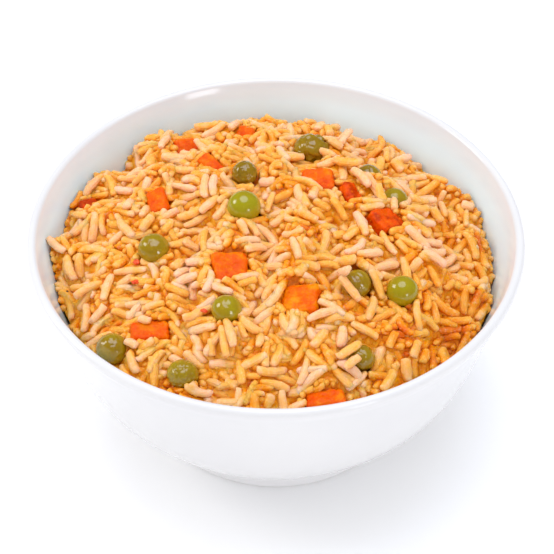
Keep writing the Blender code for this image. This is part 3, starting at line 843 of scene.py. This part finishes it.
# Grains that are seen to lie over a topping: where, how turned, and how long
Cover = namedtuple("Cover", "x y turn length")
COVERS = (
    Cover(-8.5 * MM, -3.6 * MM, -58, 4.8 * MM),
    Cover(25.9 * MM, 14.0 * MM, -65, 9.0 * MM),
    Cover(22.6 * MM, 16.0 * MM, -60, 8.6 * MM),
    Cover(19.0 * MM, 21.9 * MM, -24, 8.4 * MM),
    Cover(31.1 * MM, 7.4 * MM, -93, 4.2 * MM),
    Cover(27.6 * MM, 10.2 * MM, -75, 5.5 * MM),
    Cover(18.6 * MM, -25.0 * MM, -42, 8.2 * MM),
    Cover(17.0 * MM, -22.0 * MM, -60, 7.0 * MM),
    Cover(25.6 * MM, -21.7 * MM, -63, 8.2 * MM),
    Cover(18.0 * MM, -42.0 * MM, 35, 7.4 * MM),
    Cover(18.6 * MM, -45.4 * MM, 40, 5.2 * MM),
    Cover(-33.0 * MM, -30.2 * MM, -21, 3.4 * MM),
    Cover(14.2 * MM, 29.0 * MM, -36, 5.2 * MM),
    Cover(-8.0 * MM, 12.6 * MM, -26, 5.0 * MM),
)


def fill_bowl(rng):
    pile = Pile(rng)
    for node in sorted(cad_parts):
        if node.startswith("pea"):
            pile.add_topping(node, PEA_MARGIN, PEA_BURY)
        if node.startswith("carrot"):
            pile.add_topping(node, CARROT_MARGIN, CARROT_BURY)
    misses = 0
    while len(pile.grains) < MOST_GRAINS and misses < MOST_MISSES:
        misses = 0 if pile.add_best(MOST_PROUD) else misses + 1
    for _ in range(LOOSE_TRIES):
        pile.add_best(LOOSE_PROUD)
    for cover in COVERS:
        pile.lay(cover.x, cover.y, cover.turn, KINDS[0], cover.length, COVER_WIDTH)
    pile.plug_gaps(LEAST_GAP)
    return pile


def grain_tree():
    """Points to cooked grains: a blunt spindle on each, bent and made uneven."""
    tree = bpy.data.node_groups.new("cooked grains", "GeometryNodeTree")
    face = tree.interface
    face.new_socket("Grains", in_out="OUTPUT", socket_type="NodeSocketGeometry")
    face.new_socket("Points", in_out="INPUT", socket_type="NodeSocketGeometry")
    for name, kind in (("Sides", "Int"), ("Rings", "Int"), ("Bluntness", "Float"),
                       ("Unevenness", "Float"), ("Uneven size", "Float"),
                       ("Seed", "Float"), ("Surface", "Material")):
        face.new_socket(name, in_out="INPUT", socket_type="NodeSocket" + kind)
    given = add_node(tree, "NodeGroupInput").outputs

    def vector(operation, *values, out=0):
        inputs = dict(enumerate(values))
        return add_node(tree, "ShaderNodeVectorMath", inputs, operation=operation).outputs[out]

    def named(name, kind):
        node = add_node(tree, "GeometryNodeInputNamedAttribute", {"Name": name}, data_type=kind)
        return node.outputs["Attribute"]

    ball = add_node(tree, "GeometryNodeMeshUVSphere", {
        "Segments": given["Sides"], "Rings": given["Rings"], "Radius": 0.5}).outputs["Mesh"]
    place = add_node(tree, "GeometryNodeInputPosition").outputs[0]
    parts = add_node(tree, "ShaderNodeSeparateXYZ", {0: place}).outputs
    outline = vector("LENGTH", vector("MULTIPLY", place, (2.0, 2.0, 0.0)), out="Value")
    outline = calculate(tree, "MAXIMUM", outline, 0.001)
    swell = calculate(tree, "POWER", outline, calculate(tree, "SUBTRACT", given["Bluntness"], 1.0))
    blunt = add_node(tree, "ShaderNodeCombineXYZ", {
        0: calculate(tree, "MULTIPLY", parts["X"], swell),
        1: calculate(tree, "MULTIPLY", parts["Y"], swell),
        2: parts["Z"]}).outputs[0]
    marked = add_node(tree, "GeometryNodeStoreNamedAttribute", {
        "Geometry": ball, "Name": "along", "Value": calculate(tree, "MULTIPLY", parts["Z"], 2.0),
    }, data_type="FLOAT", domain="POINT").outputs[0]
    marked = add_node(tree, "GeometryNodeStoreNamedAttribute", {
        "Geometry": marked, "Name": "in_grain",
        "Value": vector("MULTIPLY", place, (1.0, 1.0, 0.22)),
    }, data_type="FLOAT_VECTOR", domain="POINT").outputs[0]
    spindle = add_node(tree, "GeometryNodeSetPosition", {
        "Geometry": marked, "Position": blunt}).outputs[0]
    turn = add_node(tree, "FunctionNodeEulerToRotation", {0: named("turn", "FLOAT_VECTOR")})
    laid = add_node(tree, "GeometryNodeInstanceOnPoints", {
        "Points": given["Points"], "Instance": spindle, "Rotation": turn.outputs[0],
        "Scale": named("size", "FLOAT_VECTOR")}).outputs[0]
    real = add_node(tree, "GeometryNodeRealizeInstances", {"Geometry": laid}).outputs[0]

    along = named("along", "FLOAT")
    bow = calculate(tree, "SUBTRACT", calculate(tree, "MULTIPLY", along, along), 0.35)
    sag = vector("SCALE", named("sag", "FLOAT_VECTOR"))
    tree.links.new(bow, sag.node.inputs["Scale"])
    bent = add_node(tree, "GeometryNodeSetPosition", {"Geometry": real, "Offset": sag}).outputs[0]

    wave = add_node(tree, "ShaderNodeTexNoise", {
        "Vector": place, "W": given["Seed"], "Detail": 1.0,
        "Scale": calculate(tree, "DIVIDE", 1.0, given["Uneven size"])},
        noise_dimensions="4D").outputs[0]
    swing = calculate(tree, "MULTIPLY", calculate(tree, "SUBTRACT", wave, 0.5), 2.0)
    swing = calculate(tree, "MULTIPLY", swing, given["Unevenness"])
    normal = add_node(tree, "GeometryNodeInputNormal").outputs[0]
    shove = vector("SCALE", normal)
    tree.links.new(swing, shove.node.inputs["Scale"])
    uneven = add_node(tree, "GeometryNodeSetPosition", {
        "Geometry": bent, "Offset": shove}).outputs[0]
    smooth = add_node(tree, "GeometryNodeSetShadeSmooth", {"Geometry": uneven}).outputs[0]
    surfaced = add_node(tree, "GeometryNodeSetMaterial", {
        "Geometry": smooth, "Material": given["Surface"]}).outputs[0]
    add_node(tree, "NodeGroupOutput", {0: surfaced})
    return tree


def blurred(field, cells):
    """A map smoothed over about this many cells."""
    away = np.arange(-3 * cells, 3 * cells + 1)
    weights = np.exp(-0.5 * (away / cells) ** 2)
    weights /= weights.sum()
    for axis in (0, 1):
        field = np.apply_along_axis(np.convolve, axis, field, weights, mode="same")
    return field


def mass_lump(x, y):
    """Half-buried grains make the mass lumpy, each lump longer than wide."""
    spot = Vector((x, y, 0))
    turn = math.pi * noise.noise(spot / MASS_LUMP_TURNING)
    along = (x * math.cos(turn) + y * math.sin(turn)) / MASS_LUMP_LENGTH
    across = (y * math.cos(turn) - x * math.sin(turn)) / MASS_LUMP_WIDTH
    return MASS_LUMP * noise.noise(Vector((along, across, 0)))


def make_core(pile, material):
    """The sticky mass between and under the grains: it fills the bowl, and its top
    runs a little below the grains that show, with no deep pit or cliff in it."""
    packed = np.where(pile.closed, pile.target - UNDER_TOPPINGS, pile.packed)
    level = blurred(np.minimum(packed, pile.target), MASS_SPREAD)
    mass = np.clip(blurred(packed, MASS_BLUR) - MASS_SINK, level - MASS_PIT, level - MASS_CREST)
    angles = np.linspace(0, math.tau, CORE_SEGMENTS, endpoint=False)
    wall = inner_wall()[::-1]
    rings = []
    for profile_point in wall[1:]:
        if profile_point.y > CORE_EDGE:
            break
        radius, height = profile_point.x - CORE_CLEARANCE, profile_point.y + CORE_CLEARANCE
        rings.append([(radius * math.cos(a), radius * math.sin(a), height) for a in angles])
    ring_radius = np.arange(rings[-1][0][0], RIM_RADIUS, 0.1 * MM)
    edges = []
    for a in angles:
        top = mass[pile.cells(ring_radius * math.cos(a), ring_radius * math.sin(a))]
        covered = top > wall_heights(ring_radius + CORE_CLEARANCE)
        edges.append(ring_radius[max(int(np.argmin(covered)) - 1, 0)])
    edges = np.array(edges)
    for step in range(CORE_RINGS):
        radius = edges * (1 - step / CORE_RINGS)
        x, y = radius * np.cos(angles), radius * np.sin(angles)
        z = mass[pile.cells(x, y)]
        rings.append([(a, b, c + mass_lump(a, b)) for a, b, c in zip(x, y, z)])
    bm = bmesh.new()
    layers = [[bm.verts.new(spot) for spot in ring] for ring in rings]
    for lower, upper in zip(layers, layers[1:]):
        for i in range(CORE_SEGMENTS):
            j = (i + 1) % CORE_SEGMENTS
            bm.faces.new((lower[i], lower[j], upper[j], upper[i]))
    for layer in (layers[0], layers[-1]):
        height = sum(vert.co.z for vert in layer) / CORE_SEGMENTS
        pole = bm.verts.new((0, 0, height))
        for i in range(CORE_SEGMENTS):
            bm.faces.new((layer[i], layer[(i + 1) % CORE_SEGMENTS], pole))
    piece = link("rice_core", mesh_from_bmesh("rice_core", bm), material)
    mark_gap_shade(piece.data, pile)
    return piece


def mark_gap_shade(mesh, pile):
    """How deep in the heap each point lies, from 0 on top to 1 deep between the grains, which the
    rice materials paint as shade.
    """
    spots = points_of(mesh)
    top = pile.target[pile.cells(spots[:, 0], spots[:, 1])] + UNSHADED_RISE
    store(mesh, "gap_shade", "FLOAT", np.clip((top - spots[:, 2]) / GAP_SHADE_DEPTH, 0.0, 1.0))


def make_grains(kind, pile, tree, material, rng):
    """One mesh of all the grains of a kind."""
    turns, sizes, sags = [], [], []
    grains = [grain for grain in pile.grains if grain.kind is kind]
    for grain in grains:
        flat = grain.direction.cross(grain.side)
        roll = rng.gauss(0, ROLL_SPREAD)
        wide = math.cos(roll) * grain.side + math.sin(roll) * flat
        thin = grain.direction.cross(wide)
        turn = Matrix((wide, thin, grain.direction)).transposed()
        turns.append(tuple(turn.to_euler()))
        sizes.append((grain.width, grain.width * GRAIN_THICKNESS, grain.length))
        bend = kind.bend * grain.length * rng.uniform(0.5, 1.3)
        sags.append(bend * (wide * rng.choice((-1, 1)) + 0.3 * rng.uniform(-1, 1) * thin))
    mesh = bpy.data.meshes.new(kind.name)
    mesh.from_pydata([grain.middle for grain in grains], [], [])
    store(mesh, "turn", "FLOAT_VECTOR", turns)
    store(mesh, "size", "FLOAT_VECTOR", sizes)
    store(mesh, "sag", "FLOAT_VECTOR", sags)
    store(mesh, "tint", "FLOAT", [grain.tint for grain in grains])
    piece = link(kind.name, mesh)
    modifier = piece.modifiers.new("grains", "NODES")
    modifier.node_group = tree
    values = {"Sides": GRAIN_SIDES, "Rings": GRAIN_RINGS, "Bluntness": kind.bluntness,
              "Unevenness": GRAIN_UNEVENNESS, "Uneven size": UNEVEN_SIZE,
              "Seed": float(SEED), "Surface": material}
    for socket in tree.interface.items_tree:
        if socket.name in values:
            modifier[socket.identifier] = values[socket.name]
    apply_modifiers(piece)
    mark_gap_shade(piece.data, pile)
    return piece


# Small bits between the grains: where, and how large

TOMATO_FLECKS = ((-35.9 * MM, -10.3 * MM, 2.0 * MM), (-35.9 * MM, -16.9 * MM, 1.7 * MM),
                 (-17.9 * MM, -29.7 * MM, 1.6 * MM))
PEPPER_SPECKS = ((-54.0 * MM, -13.6 * MM, 0.6 * MM), (-51.4 * MM, -2.9 * MM, 0.6 * MM),
                 (24.3 * MM, -5.7 * MM, 0.6 * MM))


BIT_RAGGEDNESS = 0.7
BIT_SHARES = Vector((1.0, 0.8, 0.5))


def make_bits(name, bits, pile, material):
    """Flat ragged crumbs that lie on the grains."""
    bm = bmesh.new()
    for x, y, size in bits:
        top = pile.height[pile.cells(np.array((x,)), np.array((y,)))][0]
        new = bmesh.ops.create_icosphere(bm, subdivisions=3, radius=0.5 * size)["verts"]
        for vert in new:
            wave = noise.noise(vert.co / (0.45 * size) + Vector((x, y, 0)) / MM)
            vert.co = (1.0 + BIT_RAGGEDNESS * wave) * vert.co * BIT_SHARES + Vector((x, y, top))
    return link(name, mesh_from_bmesh(name, bm), material)


# Toppings

Pea = namedtuple("Pea", "ripeness wrinkle lobe dimple dimple_size")
PEAS = (
    Pea(0.30, 0.25, 0.2, (0.05, -0.75, 0.65), 0.42),
    Pea(0.95, 0.04, 0.0, None, 0),
    Pea(0.50, 0.18, 0.1, None, 0),
    Pea(0.40, 0.45, 1.0, None, 0),
    Pea(0.30, 0.25, 0.2, None, 0),
    Pea(0.60, 0.12, 0.1, None, 0),
    Pea(0.40, 0.20, 0.2, None, 0),
    Pea(0.80, 0.05, 0.0, None, 0),
    Pea(0.40, 0.25, 0.2, None, 0),
    Pea(0.70, 0.10, 0.1, None, 0),
    Pea(0.45, 0.20, 0.1, None, 0),
    Pea(0.50, 0.60, 0.2, None, 0),
)


PEA_SHAPE = 0.015
PEA_FOLD = 0.10
PEA_PIT = 0.05
PEA_SPLIT = 0.22
PEA_DIMPLE = 0.05


def pea_radius(direction, pea, number):
    """The radius of a pea in one direction, against a plain one."""
    seed = Vector((number * 7.3, number * 3.1, SEED))
    radius = 1.0 + PEA_SHAPE * noise.noise(direction * 1.2 + seed)
    fold = noise.noise(direction * 2.3 + seed)
    radius -= PEA_FOLD * pea.wrinkle * math.exp(-(fold / 0.13) ** 2)
    radius -= PEA_PIT * pea.wrinkle * max(0.0, noise.noise(direction * 4.5 + seed))
    split = noise.noise(direction * 0.9 + 2 * seed)
    radius -= PEA_SPLIT * pea.lobe * math.exp(-(split / 0.12) ** 2)
    if pea.dimple:
        apart = (direction - Vector(pea.dimple).normalized()).length / pea.dimple_size
        radius -= PEA_DIMPLE * math.exp(-((apart - 1.0) / 0.28) ** 2)
    return radius


def make_pea(number, pea, material):
    node = f"pea_{number:02d}"
    low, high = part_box(node)
    half = 0.5 * (high - low)
    bm = bmesh.new()
    bmesh.ops.create_icosphere(bm, subdivisions=5, radius=1.0)
    for vert in bm.verts:
        direction = vert.co.normalized()
        size = pea_radius(direction, pea, number)
        vert.co = Vector([size * d * h for d, h in zip(direction, half)]) + 0.5 * (low + high)
    mesh = mesh_from_bmesh(node + "_cooked", bm)
    store(mesh, "ripeness", "FLOAT", [pea.ripeness] * len(mesh.vertices))
    piece = link(node + "_cooked", mesh, material)
    hand_over(piece, "pea", node)


CARROT_REDNESS = (0.45, 0.40, 0.50, 0.50, 0.95, 0.50, 0.45, 0.80, 0.80, 0.25, 0.45, 0.50)
CARROT_VOXEL = 0.32 * MM
CARROT_SMOOTHING = 22
CARROT_WAVE = 0.40 * MM
CARROT_FOLD = 0.25 * MM
CARROT_PIT = 0.35 * MM


def make_carrot(number, redness, material):
    """The die's own form with soft corners and a pitted cut face."""
    node = f"carrot_{number:02d}"
    bm = bmesh.new()
    bm.from_mesh(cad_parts[node].data)
    bmesh.ops.remove_doubles(bm, verts=bm.verts, dist=0.01 * MM)
    piece = link(node + "_cooked", mesh_from_bmesh(node, bm))
    remesh = piece.modifiers.new("remesh", "REMESH")
    remesh.mode = "VOXEL"
    remesh.voxel_size = CARROT_VOXEL
    soften = piece.modifiers.new("soften", "SMOOTH")
    soften.factor = 0.5
    soften.iterations = CARROT_SMOOTHING
    apply_modifiers(piece)
    mesh = piece.data
    bm = bmesh.new()
    bm.from_mesh(mesh)
    seed = Vector((number * 5.1, 0, SEED))
    for vert in bm.verts:
        for face in vert.link_faces:
            face.normal_update()
        vert.normal_update()
        wave = noise.noise(vert.co / (3.0 * MM) + seed)
        fold = noise.noise(vert.co / (1.4 * MM) + seed)
        pit = min(0.0, noise.noise(vert.co / (0.7 * MM) + seed))
        vert.co += vert.normal * (CARROT_WAVE * wave + CARROT_FOLD * fold + CARROT_PIT * pit)
    bm.to_mesh(mesh)
    bm.free()
    mesh.shade_smooth()
    mesh.materials.append(material)
    store(mesh, "redness", "FLOAT", [redness] * len(mesh.vertices))
    hand_over(piece, "carrot", node)


# Studio: an even white tent for light, whose darker parts show in reflections

ROOM_LIGHT = 1.0
ROOM_IN_REFLECTIONS = 0.10


def aim(thing, target):
    thing.rotation_euler = (target - thing.location).to_track_quat("-Z", "Y").to_euler()


def make_camera():
    """The photograph's view, turned a little so the bowl falls where it is seen."""
    camera = bpy.data.objects.new("camera", bpy.data.cameras.new("camera"))
    camera.data.sensor_width = SENSOR_WIDTH
    camera.data.lens = FOCAL_PIXELS * SENSOR_WIDTH / PHOTO_SIDE
    camera.location = (0.0, -VIEW_DISTANCE * math.cos(VIEW_ELEVATION),
                       VIEW_HEIGHT + VIEW_DISTANCE * math.sin(VIEW_ELEVATION))
    aside = math.atan((MIDDLE_IN_PHOTO[0] - 0.5 * PHOTO_SIDE) / FOCAL_PIXELS)
    below = math.atan((MIDDLE_IN_PHOTO[1] - 0.5 * PHOTO_SIDE) / FOCAL_PIXELS)
    camera.rotation_euler = (0.5 * math.pi - VIEW_ELEVATION + below, 0.0, aside)
    bpy.context.scene.collection.objects.link(camera)
    bpy.context.scene.camera = camera


def make_light(name, direction, distance, size, power, colour):
    light = bpy.data.lights.new(name, "AREA")
    light.shape = "DISK"
    light.size = size
    light.energy = power
    light.color = linear(colour)[:3]
    lamp = bpy.data.objects.new(name, light)
    lamp.location = Vector((0, 0, BOWL_HEIGHT)) + distance * Vector(direction).normalized()
    aim(lamp, Vector((0, 0, BOWL_HEIGHT)))
    bpy.context.scene.collection.objects.link(lamp)


def make_studio():
    scene = bpy.context.scene
    scene.view_settings.view_transform = "Standard"
    world = bpy.data.worlds.new("soft white room")
    world.use_nodes = True
    tree = world.node_tree
    room = tree.nodes["Background"]
    room.inputs["Color"].default_value = linear("#FBFCFF")
    mirrored = add_node(tree, "ShaderNodeLightPath").outputs["Is Glossy Ray"]
    tree.links.new(remap(tree, mirrored, 0.0, 1.0, ROOM_LIGHT, ROOM_IN_REFLECTIONS),
                   room.inputs["Strength"])
    scene.world = world
    make_light("key softbox", (-0.82, 0.15, 0.545), 1.0, 0.42, 2.3, "#FFFDFA")
    make_light("overhead softbox", (0.0, 0.15, 1.0), 1.0, 0.9, 5.4, "#E0EAFF")
    make_light("fill softbox", (0.54, -0.81, 0.225), 1.0, 0.26, 1.2, "#F4F6FF")
    bm = bmesh.new()
    bmesh.ops.create_grid(bm, x_segments=2, y_segments=2, size=2.5)
    table = link("table", mesh_from_bmesh("table", bm), pale_table())


make_camera()
make_studio()
rng = random.Random(SEED)
hand_over(make_bowl(glazed_porcelain()), "porcelain", "bowl")
pile = fill_bowl(rng)
rice = cooked_rice()
tree = grain_tree()
hand_over(make_core(pile, rice_mass()), "rice", "rice")
for kind in KINDS:
    hand_over(make_grains(kind, pile, tree, rice, rng), "rice", "rice")
tomato = crumb_stuff("flecks of cooked tomato skin", "#D83408", "#EE5A14", 0.25)
pepper = crumb_stuff("ground black pepper", "#2A1C10", "#5A3C20", 0.60)
hand_over(make_bits("tomato_flecks", TOMATO_FLECKS, pile, tomato), "rice", "rice")
hand_over(make_bits("pepper_specks", PEPPER_SPECKS, pile, pepper), "rice", "rice")
skin = cooked_pea_skin()
for number, pea in enumerate(PEAS, start=1):
    make_pea(number, pea, skin)
flesh = cooked_carrot_flesh()
for number, redness in enumerate(CARROT_REDNESS, start=1):
    make_carrot(number, redness, flesh)
